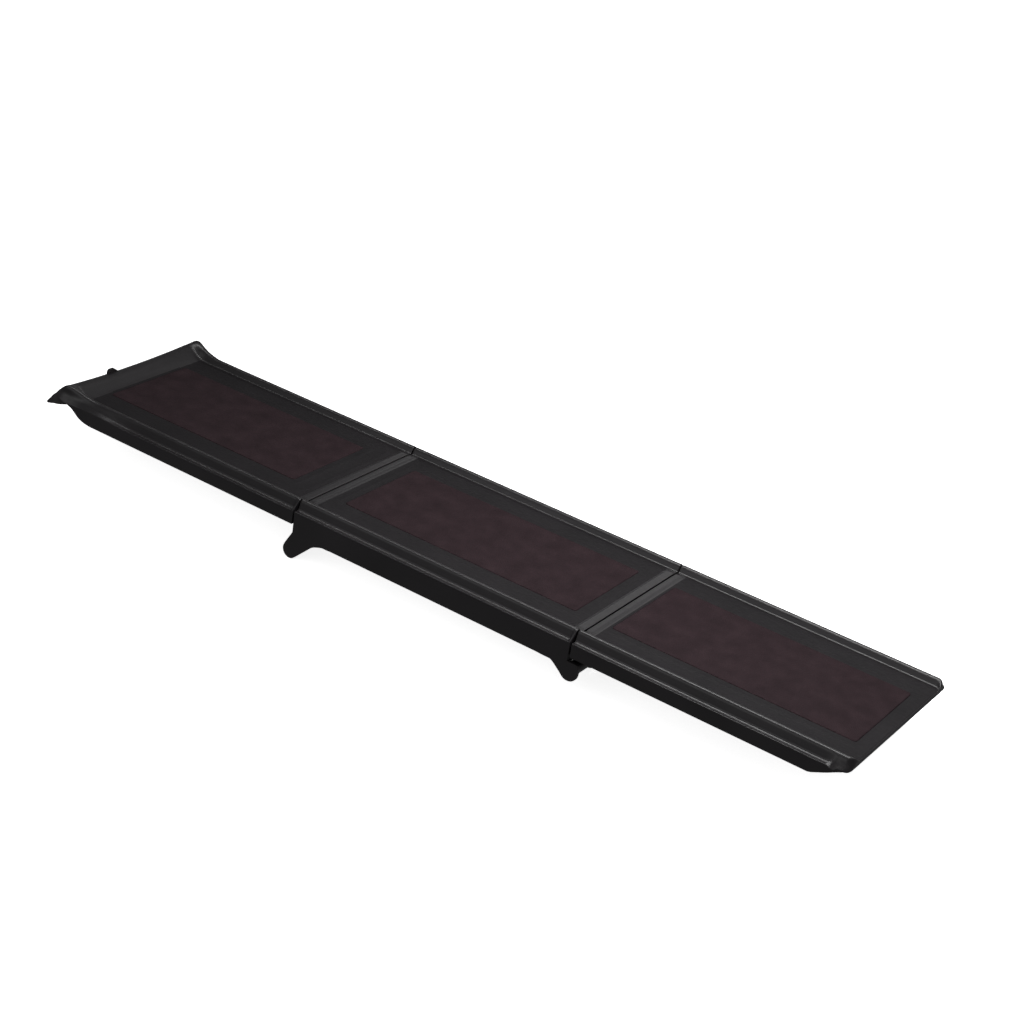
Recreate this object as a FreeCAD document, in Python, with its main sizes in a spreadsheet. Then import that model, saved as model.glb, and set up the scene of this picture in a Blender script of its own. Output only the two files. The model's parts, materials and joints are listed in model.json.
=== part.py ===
"""Three-panel folding dog ramp: moulded panels, tread mats, hinge pins, grips and feet.

Frame: the origin lies on the ground under the middle of the open ramp. +X runs along the ramp
towards its ground end, +Z is up, and +Y is the right-hand side of a dog that walks up the ramp.
Both end panels fold under the middle one, about pins that run along Y below the deck.
"""
import FreeCAD, Part
import math
import os

import Sketcher
from FreeCAD import Placement, Rotation, Vector

# Driving dimensions in millimetres: alias, value, what it is.
DIMENSIONS = [
    ("hook_tip_x", -903, "tip of the hook lip"),
    ("upper_seam_x", -257, "joint plane between the upper and middle panels"),
    ("lower_seam_x", 367, "joint plane between the middle and lower panels"),
    ("ground_end_x", 903, "end face of the lower panel"),
    ("deck_z", 106, "walking surface above the ground"),
    ("seam_gap", 2.4, "gap between two panels' end faces"),
    ("wall_half", 196, "outer face of the side walls from the centre line"),
    ("skirt_short", 35, "depth of the end panels below the deck"),
    ("skirt_deep", 54, "depth of the middle panel below the deck"),
    ("wall", 2.8, "thickness of the side walls"),
    ("end_wall", 3.6, "thickness of the end walls"),
    ("rib", 2, "thickness of the ribs"),
    ("rib_relief", 3, "height of the ribs' lower edges above the skirt's edge"),
    ("keel_y", 64, "distance of the two long ribs from the centre line"),
    ("rib_bays", 8, "number of rib bays along a panel"),
    ("rail_foot", 163, "inner foot of the side rail from the centre line"),
    ("rail_in", 170, "inner edge of the rail's crest"),
    ("rail_out", 177.5, "outer edge of the rail's crest"),
    ("rail_rise", 12, "height of the rail's crest above the deck"),
    ("groove_half", 186.5, "foot of the rail's outer flank from the centre line"),
    ("groove_drop", 4.5, "depth of that foot below the deck"),
    ("ledge_drop", 6.5, "depth of the ledge's outer edge below the deck"),
    ("rail_round", 4.2, "rounding of the rail's crest, feet and ledge"),
    ("mat_half", 108, "half of the mats' width"),
    ("mat_thick", 3.5, "thickness of the mats"),
    ("mat_sunk", 2.5, "depth of the mats' recess in the deck"),
    ("mat_gap", 0.4, "gap round a mat in its recess"),
    ("upper_mat_start", -556, "hook end of the upper mat from the upper seam"),
    ("upper_mat_end", -76, "seam end of the upper mat from the upper seam"),
    ("middle_mat_start", 50, "upper end of the middle mat from the upper seam"),
    ("middle_mat_end", 574, "lower end of the middle mat from the upper seam"),
    ("lower_mat_start", 26, "seam end of the lower mat from the lower seam"),
    ("lower_mat_end", 506, "ground end of the lower mat from the lower seam"),
    ("skin", 2.8, "thickness of the deck under a mat"),
    ("strip_start", 4, "first edge of the raised cross strip from its seam"),
    ("strip_end", 20, "last edge of the raised cross strip from its seam"),
    ("strip_rise", 2, "height of the raised cross strip"),
    ("strip_slope", 3, "length of the cross strip's sloped edges"),
    ("upper_pivot_drop", 89, "depth of the upper hinge axis below the deck"),
    ("lower_pivot_drop", 62, "depth of the lower hinge axis below the deck"),
    ("lower_pivot_x", 4, "distance of the lower hinge axis beyond its seam"),
    ("upper_lobe", 17, "radius of the upper ear's lobe"),
    ("lower_lobe", 19, "radius of the lower ear's lobe"),
    ("ear_thick", 8, "thickness of an outer ear"),
    ("inner_ear_start", 120, "inboard face of an inner ear from the centre line"),
    ("inner_ear_thick", 11, "thickness of an inner ear"),
    ("knuckle_start", 134, "inboard face of a knuckle from the centre line"),
    ("knuckle_long", 49, "length of a knuckle's barrel"),
    ("knuckle_web", 14, "thickness of a knuckle's web"),
    ("knuckle_half", 13, "outer radius of a knuckle's barrel"),
    ("pin_half", 5, "radius of a hinge pin"),
    ("pin_start", 116, "inboard end of a hinge pin from the centre line"),
    ("pin_long", 75, "length of a hinge pin"),
    ("pin_fit", 0.02, "radial clearance of a pin in the ears"),
    ("bush_fit", 0.06, "radial running clearance of a pin in a bush"),
    ("bush_half", 7, "outer radius of a bush"),
    ("flange_half", 12, "radius of a bush's flange"),
    ("flange_thick", 4, "thickness of a bush's flange"),
    ("cap_half", 9, "outer radius of a pin's cap"),
    ("cap_start", 112, "inboard face of a pin's cap from the centre line"),
    ("cap_long", 7.9, "length of a pin's cap"),
    ("nose_start", 471, "start of the ground-end bevel from the lower seam"),
    ("nose_end", 526, "end of the ground-end bevel from the lower seam"),
    ("nose_edge", 9.4, "depth of the ground end's edge below the deck"),
    ("foot_long", 44, "length of a ground foot along the ramp"),
    ("foot_wide", 70, "width of a ground foot"),
    ("foot_y", 135, "distance of a ground foot's middle from the centre line"),
    ("foot_thick", 4, "thickness of a ground foot"),
    ("tray_end", 541, "end of the upper panel's rib bays from the upper seam"),
    ("grip_half", 178, "half of the hook grip's width"),
    ("grip_thick", 3, "thickness of the hook grip"),
    ("horn_out", 8, "how far the lip's corners flare outside the side walls"),
    ("horn_rise", 26.8, "height of the lip's corners above the deck"),
    ("lip_start", -528, "start of the lip and of the tray's curved end from the upper seam"),
    ("lip_crest_x", 43, "distance of the lip's crest from the hook tip"),
    ("lip_crest_rise", 14.5, "height of the lip's crest above the deck"),
    ("lip_end", 84, "distance from the hook tip where the lip meets the deck"),
    ("tip_drop", 21.5, "depth of the hook tip's upper edge below the deck"),
    ("hook_plane_x", 62, "distance from the hook tip where the lip's flat underside starts"),
    ("hook_plane_drop", 6, "depth of that start below the deck"),
    ("hook_plane_fall", 0.3426, "slope of the lip's flat underside towards the hook tip"),
    ("stud_y", 90, "distance of the studs from the centre line"),
    ("stud_head", 7, "radius of a stud's head"),
    ("stud_head_thick", 1.6, "thickness of a stud's head"),
    ("stud_shank", 3, "radius of a stud's shank"),
    ("stud_barb", 4.2, "largest radius of a stud's barb"),
    ("stud_barb_long", 4, "length of a stud's barb"),
    ("stud_gap", 0.1, "clearance round a stud"),
    ("anchor_x", 29.5, "distance of the tether anchor's outer face from the hook tip"),
    ("anchor_seat", 9, "height of the tether anchor's seat above the deck"),
    ("anchor_y", -48, "middle of the tether anchor from the centre line"),
    ("anchor_wide", 26, "width of the tether anchor"),
    ("anchor_thick", 7, "thickness of the tether anchor"),
    ("anchor_rise", 20.5, "height of the tether anchor's top above the deck"),
    ("anchor_slope", 10, "width of the slope on the tether anchor's right side"),
    ("screw_reach", 8, "distance of each anchor screw from the tether anchor's middle"),
    ("screw_drop", 4, "height of the anchor screws' heads above the deck"),
    ("screw_half", 1.8, "radius of a screw's shank"),
    ("screw_head", 3.2, "radius of a screw's head"),
    ("screw_head_thick", 1.6, "thickness of a screw's head"),
    ("screw_long", 9, "length of a screw's shank"),
]

SIDES = {"left": -1, "right": 1}
END_STUD_BAYS = (0, 2, 4, 6)
MIDDLE_STUD_BAYS = (1, 3, 4, 6)
SUBPARTS = []


class Size:
    """A length with both its number and the spreadsheet expression that gives it."""

    def __init__(self, value, text):
        self.value = value
        self.text = text

    def __add__(self, other):
        return join(self, "+", other, self.value + number(other))

    def __radd__(self, other):
        return join(other, "+", self, number(other) + self.value)

    def __sub__(self, other):
        return join(self, "-", other, self.value - number(other))

    def __mul__(self, other):
        return join(self, "*", other, self.value * number(other))

    def __rmul__(self, other):
        return join(other, "*", self, number(other) * self.value)

    def __truediv__(self, other):
        return join(self, "/", other, self.value / number(other))


def number(item):
    """The plain number of a Size or of a number."""
    return item.value if isinstance(item, Size) else float(item)


def words(item):
    """The expression of a Size or of a number."""
    return item.text if isinstance(item, Size) else f"({float(item)})"


def join(first, sign, second, value):
    return Size(value, f"({words(first)} {sign} {words(second)})")


class Sheet:
    """The spreadsheet of driving dimensions; each alias is read as an attribute."""

    def __init__(self, document):
        cells = document.addObject("Spreadsheet::Sheet", "Sheet")
        for row, (alias, value, meaning) in enumerate(DIMENSIONS, start=1):
            cells.set(f"A{row}", meaning)
            cells.set(f"B{row}", str(value))
            cells.setAlias(f"B{row}", alias)
            setattr(self, alias, Size(float(value), f"Sheet.{alias}"))


DOC = FreeCAD.newDocument("DogRamp")
S = Sheet(DOC)
DOC.recompute()


# ---------------------------------------------------------------- building blocks


def keep(item, node):
    """List item as the sub-part called node."""
    item.Label = node
    SUBPARTS.append(item)
    return item


def bind(item, name, size):
    """Set a property to a size and tie it to the spreadsheet."""
    item.setExpression(name, words(size))


def new_body(node):
    return keep(DOC.addObject("PartDesign::Body", f"{node}_body"), node)


def origin_item(body, role):
    return next(item for item in body.Origin.OriginFeatures if item.Role == role)


def sketch_at(body, plane, offset):
    """A sketch on one of the body's origin planes, moved by offset along that plane's normal."""
    sketch = body.newObject("Sketcher::SketchObject", "Sketch")
    sketch.AttachmentSupport = [(origin_item(body, plane), "")]
    sketch.MapMode = "FlatFace"
    sketch.AttachmentOffset = Placement(Vector(0, 0, number(offset)), Rotation())
    bind(sketch, "AttachmentOffset.Base.z", offset)
    return sketch


def hold(sketch, kind, geometry, point, size):
    """Fix one coordinate of a sketch point to a size, measured from the sketch's origin."""
    index = sketch.addConstraint(Sketcher.Constraint(kind, -1, 1, geometry, point, number(size)))
    bind(sketch, f"Constraints[{index}]", size)


def add_outline(sketch, corners):
    """Draw a closed outline of straight lines through corners given as pairs of sizes."""
    first = len(sketch.Geometry)
    count = len(corners)
    spots = [Vector(number(u), number(v), 0) for u, v in corners]
    for i in range(count):
        sketch.addGeometry(Part.LineSegment(spots[i], spots[(i + 1) % count]), False)
    for i in range(count):
        sketch.addConstraint(Sketcher.Constraint("Coincident", first + i, 2, first + (i + 1) % count, 1))
    for i, (u, v) in enumerate(corners):
        hold(sketch, "DistanceX", first + i, 1, u)
        hold(sketch, "DistanceY", first + i, 1, v)


def add_circle(sketch, u, v, radius):
    circle = Part.Circle(Vector(number(u), number(v), 0), Vector(0, 0, 1), number(radius))
    index = sketch.addGeometry(circle, False)
    hold(sketch, "DistanceX", index, 3, u)
    hold(sketch, "DistanceY", index, 3, v)
    size = sketch.addConstraint(Sketcher.Constraint("Radius", index, number(radius)))
    bind(sketch, f"Constraints[{size}]", radius)


def box_corners(low_u, high_u, low_v, high_v):
    return [(low_u, low_v), (high_u, low_v), (high_u, high_v), (low_u, high_v)]


def grow(body, sketch, length):
    """Add the sketch's outline, drawn out along its plane's normal."""
    pad = body.newObject("PartDesign::Pad", "Pad")
    pad.Profile = sketch
    bind(pad, "Length", length)
    return pad


def cut(body, sketch, length):
    """Take the sketch's outline away, drawn out along its plane's normal."""
    pocket = body.newObject("PartDesign::Pocket", "Pocket")
    pocket.Profile = sketch
    pocket.Reversed = True
    bind(pocket, "Length", length)
    return pocket


def across(body, corners, low_y, high_y, circles=(), remove=False):
    """An outline in X and Z, drawn out or cut from low_y to high_y."""
    sketch = sketch_at(body, "XZ_Plane", -1 * high_y)
    if corners:
        add_outline(sketch, corners)
    for u, v, radius in circles:
        add_circle(sketch, u, v, radius)
    return (cut if remove else grow)(body, sketch, high_y - low_y)


def mirror_span(side, low, high):
    """The span low to high from the centre line, on the left or the right side."""
    return (low, high) if side > 0 else (-1 * high, -1 * low)


def round_edges(body, spots, radius):
    """Round the edges along X that pass through the (y, z) spots of the section, on both sides."""
    body.recompute(True)
    base = body.Tip
    names = []
    for index, edge in enumerate(base.Shape.Edges, start=1):
        middle = edge.CenterOfMass
        along = edge.BoundBox.XLength > 5
        near = any(abs(abs(middle.y) - number(y)) + abs(middle.z - number(z)) < 0.1 for y, z in spots)
        if along and near:
            names.append(f"Edge{index}")
    fillet = body.newObject("PartDesign::Fillet", "Fillet")
    fillet.Base = (base, names)
    bind(fillet, "Radius", radius)


def place(item, x, y, z, turn=None):
    """Put a primitive at x, y, z, after the turn given as an axis and an angle in degrees."""
    rotation = Rotation(*turn) if turn else Rotation()
    item.Placement = Placement(Vector(number(x), number(y), number(z)), rotation)
    bind(item, "Placement.Base.x", x)
    bind(item, "Placement.Base.y", y)
    bind(item, "Placement.Base.z", z)


def cylinder(radius, length, x, y, z, turn=None):
    item = DOC.addObject("Part::Cylinder", "Cylinder")
    bind(item, "Radius", radius)
    bind(item, "Height", length)
    place(item, x, y, z, turn)
    return item


def cone(radius, end_radius, length, x, y, z, turn=None):
    item = DOC.addObject("Part::Cone", "Cone")
    bind(item, "Radius1", radius)
    bind(item, "Radius2", end_radius)
    bind(item, "Height", length)
    place(item, x, y, z, turn)
    return item


def fused(pieces):
    item = DOC.addObject("Part::MultiFuse", "Fuse")
    item.Shapes = pieces
    return item


def less(base, tool):
    item = DOC.addObject("Part::Cut", "Cut")
    item.Base = base
    item.Tool = tool
    return item


def group(pieces, node):
    """Identical loose pieces that share one node."""
    item = DOC.addObject("Part::Compound", "Compound")
    item.Links = pieces
    return keep(item, node)


ALONG_RIGHT = (Vector(1, 0, 0), -90)
ALONG_LEFT = (Vector(1, 0, 0), 90)


# ---------------------------------------------------------------- panels


def panel_section(skirt):
    """The moulded section of a panel, in Y and Z: deck, rails, ledges and side walls."""
    deck = S.deck_z
    half = [
        (S.rail_foot, deck),
        (S.rail_in, deck + S.rail_rise),
        (S.rail_out, deck + S.rail_rise),
        (S.groove_half, deck - S.groove_drop),
        (S.wall_half, deck - S.ledge_drop),
        (S.wall_half, deck - skirt),
    ]
    return half + [(-1 * y, z) for y, z in reversed(half)]


def rib_cells(skirt):
    """The three hollows under a deck, in Y and Z: one in the middle and one at each side."""
    deck = S.deck_z
    under_mat = deck - S.mat_sunk - S.skin
    under_rim = deck - S.skin
    bottom = deck - skirt - 1
    near_keel = S.keel_y - S.rib / 2
    side = [
        (S.keel_y + S.rib / 2, bottom),
        (S.keel_y + S.rib / 2, under_mat),
        (S.mat_half + 5, under_mat),
        (S.mat_half + 7, under_rim),
        (S.rail_foot + 2, under_rim),
        (S.rail_foot + 8.8, deck + 7.8),
        (S.rail_out - 1.5, deck + 7.8),
        (S.groove_half - 3, deck - S.groove_drop - 3.7),
        (S.wall_half - S.wall, deck - S.ledge_drop - 3.5),
        (S.wall_half - S.wall, bottom),
    ]
    other = [(-1 * y, z) for y, z in reversed(side)]
    return [box_corners(-1 * near_keel, near_keel, bottom, under_mat), side, other]


def panel_tray(node, start, end, skirt, bay_start, bay_end):
    """A panel's shell from start to end, with rib bays hollowed out of its underside."""
    body = new_body(node)
    section = sketch_at(body, "YZ_Plane", start)
    add_outline(section, panel_section(skirt))
    grow(body, section, end - start)
    deck = S.deck_z
    round_edges(body, panel_section(skirt)[:5], S.rail_round)
    bay = (bay_end - bay_start - S.rib * (S.rib_bays - 1)) / S.rib_bays
    cells = sketch_at(body, "YZ_Plane", bay_start)
    for outline in rib_cells(skirt):
        add_outline(cells, outline)
    pocket = cut(body, cells, bay)
    pattern = body.newObject("PartDesign::LinearPattern", "Bays")
    pattern.Originals = [pocket]
    pattern.Direction = (origin_item(body, "X_Axis"), [""])
    pattern.Mode = "Extent"
    bind(pattern, "Length", (bay + S.rib) * (S.rib_bays - 1))
    bind(pattern, "Occurrences", S.rib_bays)
    body.Tip = pattern
    relief = sketch_at(body, "XY_Plane", deck - skirt)
    inside = S.wall_half - S.wall
    add_outline(relief, box_corners(bay_start, bay_end, -1 * inside, inside))
    cut(body, relief, S.rib_relief)
    return body


def sink_mat(body, start, end):
    """Cut the mat's recess and the holes for its studs into the deck."""
    recess = sketch_at(body, "XY_Plane", S.deck_z - S.mat_sunk)
    half = S.mat_half + S.mat_gap
    add_outline(recess, box_corners(start - S.mat_gap, end + S.mat_gap, -1 * half, half))
    cut(body, recess, S.mat_sunk + 5)


def stud_spots(tray_start, tray_end, bays):
    """Where a mat's studs are: a pair in the middle of each of the numbered rib bays."""
    pitch = (tray_end - tray_start + S.rib) / S.rib_bays
    places = [tray_start - S.rib / 2 + pitch * (bay + 0.5) for bay in bays]
    return [(x, side * S.stud_y) for x in places for side in SIDES.values()]


def drill_studs(body, spots):
    holes = sketch_at(body, "XY_Plane", S.deck_z - S.mat_sunk - S.skin - 1)
    for x, y in spots:
        add_circle(holes, x, y, S.stud_shank + S.stud_gap)
    cut(body, holes, S.skin + 2)


def cross_strip(body, seam, way):
    """The raised strip across the deck beside a seam, on the side given by way."""
    deck = S.deck_z
    low = S.strip_start
    high = S.strip_end
    outline = [
        (seam + way * low, deck - 1),
        (seam + way * low, deck),
        (seam + way * (low + S.strip_slope), deck + S.strip_rise),
        (seam + way * (high - S.strip_slope), deck + S.strip_rise),
        (seam + way * high, deck),
        (seam + way * high, deck - 1),
    ]
    across(body, outline, -1 * (S.rail_foot + 2), S.rail_foot + 2)


def hinge_axis(lower):
    """Where a hinge's axis is, in X and Z."""
    if lower:
        return S.lower_seam_x + S.lower_pivot_x, S.deck_z - S.lower_pivot_drop
    return S.upper_seam_x, S.deck_z - S.upper_pivot_drop


def ear_outline(seam, lower):
    """The ear that hangs from the middle panel at a seam, in X and Z, and its lobe's radius."""
    deck = S.deck_z
    pivot = hinge_axis(lower)
    if lower:
        reach = S.lower_lobe
        before = [(seam - 44, deck - 46), (seam - 35, deck - 52)]
        after = [(seam + 23, deck - 51), (seam + 20, deck - 44), (seam - 1.2, deck - 44),
                 (seam - 1.2, deck - 38), (seam - 44, deck - 38)]
        angles = (229, 270, 311)
    else:
        reach = S.upper_lobe
        before = [(seam + 3.7, deck - 38), (seam + 3.7, deck - 46)]
        after = [(seam + 51, deck - 62), (seam + 70, deck - 52.5), (seam + 70, deck - 38)]
        angles = (152, 225, 315)
    rim = [(pivot[0] + reach * math.cos(math.radians(a)), pivot[1] + reach * math.sin(math.radians(a)))
           for a in angles]
    return before + rim + after, reach


def hang_ears(body, seam, lower):
    """Outer and inner ears on both sides, with the pins' bores and room for the knuckles."""
    outline, reach = ear_outline(seam, lower)
    pivot = hinge_axis(lower)
    outer = S.wall_half - S.ear_thick
    for side in SIDES.values():
        spans = [
            mirror_span(side, outer, S.wall_half),
            mirror_span(side, S.inner_ear_start, S.inner_ear_start + S.inner_ear_thick),
        ]
        for low, high in spans:
            across(body, outline, low, high)
            across(body, [], low, high, circles=[(*pivot, reach)])
        if lower:
            low, high = mirror_span(side, S.inner_ear_start + S.inner_ear_thick, outer)
            across(body, [], low, high, circles=[(*pivot, S.knuckle_half + 2)], remove=True)
        low, high = mirror_span(side, S.pin_start - 1, S.pin_start + S.pin_long + 0.2)
        across(body, [], low, high, circles=[(*pivot, S.pin_half + S.pin_fit)], remove=True)


def hang_knuckles(body, seam, lower):
    """The end panel's hinge knuckles: a web and a bored barrel on each side."""
    deck = S.deck_z
    x, z = hinge_axis(lower)
    half = S.knuckle_half
    if lower:
        web = [(seam + 2, deck - 31), (seam + 44, deck - 31), (x + half * 0.71, z - half * 0.71), (x, z),
               (seam + 2, deck - 56)]
    else:
        web = [(seam - 3, deck - 31), (seam - 40, deck - 31), (x - half, z - half * 0.2), (x, z),
               (x + half * 0.6, z + half * 0.8), (seam - 3, deck - 62)]
    for side in SIDES.values():
        low, high = mirror_span(side, S.knuckle_start, S.knuckle_start + S.knuckle_web)
        across(body, web, low, high)
        low, high = mirror_span(side, S.knuckle_start, S.knuckle_start + S.knuckle_long)
        across(body, [], low, high, circles=[(x, z, half)])
        across(body, [], low, high, circles=[(x, z, S.bush_half + S.pin_fit)], remove=True)


def middle_panel():
    """The deep middle panel, which carries both seams' ears."""
    start = S.upper_seam_x + S.seam_gap / 2
    end = S.lower_seam_x - S.seam_gap / 2
    tray = (start + S.end_wall, end - S.end_wall)
    body = panel_tray("middle_panel", start, end, S.skirt_deep, *tray)
    mat = (S.upper_seam_x + S.middle_mat_start, S.upper_seam_x + S.middle_mat_end)
    sink_mat(body, *mat)
    spots = stud_spots(*tray, MIDDLE_STUD_BAYS)
    drill_studs(body, spots)
    cross_strip(body, S.upper_seam_x, 1)
    cross_strip(body, S.lower_seam_x, -1)
    hang_ears(body, S.upper_seam_x, False)
    hang_ears(body, S.lower_seam_x, True)
    return mat, spots


def toe_curve():
    """The curved underside of the upper panel's hook end, in X and Z."""
    seam = S.upper_seam_x
    deck = S.deck_z
    return [(seam + S.lip_start, deck - S.skirt_short), (seam - 545, deck - 32), (seam - 559, deck - 25),
            (seam - 573, deck - 12)]


def lip_outline():
    """The hook lip's section, in X and Z: a crest, a sloping flange and the tray's curved end."""
    deck = S.deck_z
    tip = S.hook_tip_x
    crest = S.lip_crest_x
    rise = S.lip_crest_rise
    flange = [(tip + S.hook_plane_x, deck - S.hook_plane_drop), hook_plane(4), (tip, deck - S.tip_drop),
              (tip + 23, deck + 5)]
    top = [(tip + crest - 10, deck + rise - 2), (tip + crest, deck + rise),
           (tip + crest + 11, deck + rise - 2.5), (tip + 69, deck + 5), (tip + S.lip_end, deck),
           (S.upper_seam_x + S.lip_start, deck)]
    return toe_curve() + flange + top


def hook_plane(out):
    """The point of the lip's flat underside at a distance from the hook tip, in X and Z."""
    fall = (S.hook_plane_x - out) * S.hook_plane_fall
    return S.hook_tip_x + out, S.deck_z - S.hook_plane_drop - fall


def lip_hollow():
    """The hollow under the lip's crest, in X and Z, above the plane that carries the grip."""
    deck = S.deck_z
    tip = S.hook_tip_x
    return [(tip + 60, deck - 8), (tip + 12, deck - 23), (tip + 12, deck - 14.5), (tip + 27, deck + 3),
            (tip + S.lip_crest_x, deck + S.lip_crest_rise - 4.5), (tip + 60, deck + 4)]


def tray_toe():
    """The space below the upper panel's curved end, in X and Z."""
    seam = S.upper_seam_x
    deck = S.deck_z
    return toe_curve() + [(seam - 620, deck - 12), (seam - 620, deck - 60), (seam + S.lip_start, deck - 60)]


def grip_outline(above, below):
    """A band along the lip's flat underside, in X and Z, between two depths from its plane."""
    low_x, low_z = hook_plane(10)
    high_x, high_z = hook_plane(57)
    return [(low_x, low_z + below), (high_x, high_z + below), (high_x, high_z + above),
            (low_x, low_z + above)]


def upper_panel():
    """The hook-end panel: tray, hook lip with flared corners, and the upper hinge's knuckles."""
    start = S.upper_seam_x - 562
    end = S.upper_seam_x - S.seam_gap / 2
    tray = (S.upper_seam_x - S.tray_end, end - S.end_wall)
    body = panel_tray("upper_panel", start, end, S.skirt_short, *tray)
    toe = tray_toe()
    across(body, toe, -1 * S.wall_half - 1, S.wall_half + 1, remove=True)
    across(body, lip_outline(), -1 * S.wall_half, S.wall_half)
    gussets = [(-1 * S.grip_half, -1 * S.keel_y - S.rib), (-1 * S.keel_y, S.keel_y),
               (S.keel_y + S.rib, S.grip_half)]
    for low, high in gussets:
        across(body, lip_hollow(), low, high, remove=True)
    across(body, grip_outline(S.grip_thick, -4), -1 * S.grip_half - 0.5, S.grip_half + 0.5, remove=True)
    lip_horns(body)
    anchor_seat(body)
    drill_screws(body, S.screw_long + 0.5)
    mat = (S.upper_seam_x + S.upper_mat_start, S.upper_seam_x + S.upper_mat_end)
    sink_mat(body, *mat)
    spots = stud_spots(*tray, END_STUD_BAYS)
    drill_studs(body, spots)
    cross_strip(body, S.upper_seam_x, -1)
    hang_knuckles(body, S.upper_seam_x, False)
    return mat, spots


def lip_horns(body):
    """The lip's two raised corners, which flare past the side walls."""
    tip = S.hook_tip_x
    deck = S.deck_z
    for side in SIDES.values():
        out = side * (S.wall_half + S.horn_out)
        wall = side * (S.wall_half - 2)
        plan = [(tip + 100, wall), (tip + 60, out - side * 2), (tip + 44, out), (tip + 30, out - side * 1),
                (tip + 24, wall), (tip + 27, side * 180), (tip + 50, side * 176), (tip + 80, side * 180)]
        sketch = sketch_at(body, "XY_Plane", deck - 4)
        add_outline(sketch, plan)
        grow(body, sketch, S.horn_rise + 4)
        top = deck + S.horn_rise
        shape_cut = [(tip + 20, deck + 2), (tip + 33, top - 5), (tip + 42, top), (tip + 58, top),
                     (tip + 72, top - 4), (tip + 101, deck + 5), (tip + 101, deck + 40),
                     (tip + 20, deck + 40)]
        low, high = mirror_span(side, 170, 210)
        across(body, shape_cut, low, high, remove=True)


def lower_panel():
    """The ground-end panel: tray, bevelled nose and the lower hinge's knuckles."""
    start = S.lower_seam_x + S.seam_gap / 2
    end = S.ground_end_x
    tray = (start + S.end_wall, end - S.end_wall - 1)
    body = panel_tray("lower_panel", start, end, S.skirt_short, *tray)
    for side in SIDES.values():
        foot_pad(body, side)
    across(body, nose_space(), -1 * S.wall_half - 1, S.wall_half + 1, remove=True)
    mat = (S.lower_seam_x + S.lower_mat_start, S.lower_seam_x + S.lower_mat_end)
    sink_mat(body, *mat)
    spots = stud_spots(*tray, END_STUD_BAYS)
    drill_studs(body, spots)
    cross_strip(body, S.lower_seam_x, 1)
    hang_knuckles(body, S.lower_seam_x, True)
    return mat, spots


def nose_space():
    """The space below the bevelled nose, in X and Z."""
    seam = S.lower_seam_x
    deck = S.deck_z
    return [(seam + S.nose_start, deck - S.skirt_short), (seam + S.nose_end, deck - S.nose_edge),
            (S.ground_end_x + 10, deck - S.nose_edge), (S.ground_end_x + 10, deck - 60),
            (seam + S.nose_start, deck - 60)]


def bevel_band(start, length, above, below):
    """A band along the bevel, in X and Z, between two heights from the bevel's plane."""
    seam = S.lower_seam_x
    deck = S.deck_z
    slope = (S.skirt_short - S.nose_edge) / (S.nose_end - S.nose_start)
    low = deck - S.skirt_short + start * slope
    high = low + length * slope
    begin = seam + S.nose_start + start
    end = begin + length
    return [(begin, low + below), (end, high + below), (end, high + above), (begin, low + above)]


def foot_pad(body, side):
    """The solid block inside the nose that a ground foot is bonded to."""
    start = S.lower_seam_x + S.nose_start + 2
    end = start + S.foot_long + 4
    low, high = mirror_span(side, S.foot_y - S.foot_wide / 2, S.foot_y + S.foot_wide / 2)
    across(body, box_corners(start, end, S.deck_z - S.skirt_short + 1, S.deck_z - S.skin), low, high)


# ---------------------------------------------------------------- mats and their studs


def tread_mat(node, mat, spots):
    """A mat with blind sockets below for its studs' heads."""
    body = new_body(node)
    sheet = sketch_at(body, "XY_Plane", S.deck_z - S.mat_sunk)
    add_outline(sheet, box_corners(mat[0], mat[1], -1 * S.mat_half, S.mat_half))
    grow(body, sheet, S.mat_thick)
    sockets = sketch_at(body, "XY_Plane", S.deck_z - S.mat_sunk)
    for x, y in spots:
        add_circle(sockets, x, y, S.stud_head + S.stud_gap)
    cut(body, sockets, S.stud_head_thick + S.stud_gap)


def mat_studs(node, spots):
    """Push-in studs: a flat head in the mat, a shank through the deck and a barb below it."""
    floor = S.deck_z - S.mat_sunk
    under = floor - S.skin - S.stud_gap
    studs = []
    for x, y in spots:
        head = cylinder(S.stud_head, S.stud_head_thick, x, y, floor)
        shank = cylinder(S.stud_shank, S.skin + 1, x, y, floor - S.skin - 1)
        barb = cone(S.stud_barb / 2, S.stud_barb, S.stud_barb_long, x, y, under - S.stud_barb_long)
        studs.append(fused([head, shank, barb]))
    group(studs, node)


# ---------------------------------------------------------------- hinges


def hinge_hardware(name, x, z):
    """The pin, its cap and the flanged bush on each side of one hinge."""
    for side_name, side in SIDES.items():
        turn = ALONG_RIGHT if side > 0 else ALONG_LEFT
        pin = cylinder(S.pin_half, S.pin_long - 2, x, side * S.pin_start, z, turn)
        end = cone(S.pin_half, S.pin_half - 1, 2, x, side * (S.pin_start + S.pin_long - 2), z, turn)
        keep(fused([pin, end]), f"{name}_hinge_pin_{side_name}")
        cap = cylinder(S.cap_half, S.cap_long, x, side * S.cap_start, z, turn)
        socket = cylinder(S.pin_half + S.pin_fit, S.cap_long, x, side * (S.pin_start - 0.1), z, turn)
        keep(less(cap, socket), f"{name}_pin_cap_{side_name}")
        sleeve = cylinder(S.bush_half, S.knuckle_long + 1, x, side * S.knuckle_start, z, turn)
        flange = cylinder(S.flange_half, S.flange_thick - 0.1, x,
                          side * (S.knuckle_start + S.knuckle_long + 0.1), z, turn)
        bore = cylinder(S.pin_half + S.bush_fit, S.knuckle_long + 20, x,
                        side * (S.knuckle_start - 5), z, turn)
        keep(less(fused([sleeve, flange]), bore), f"{name}_hinge_bush_{side_name}")


# ---------------------------------------------------------------- grips, feet and the tether anchor


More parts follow.
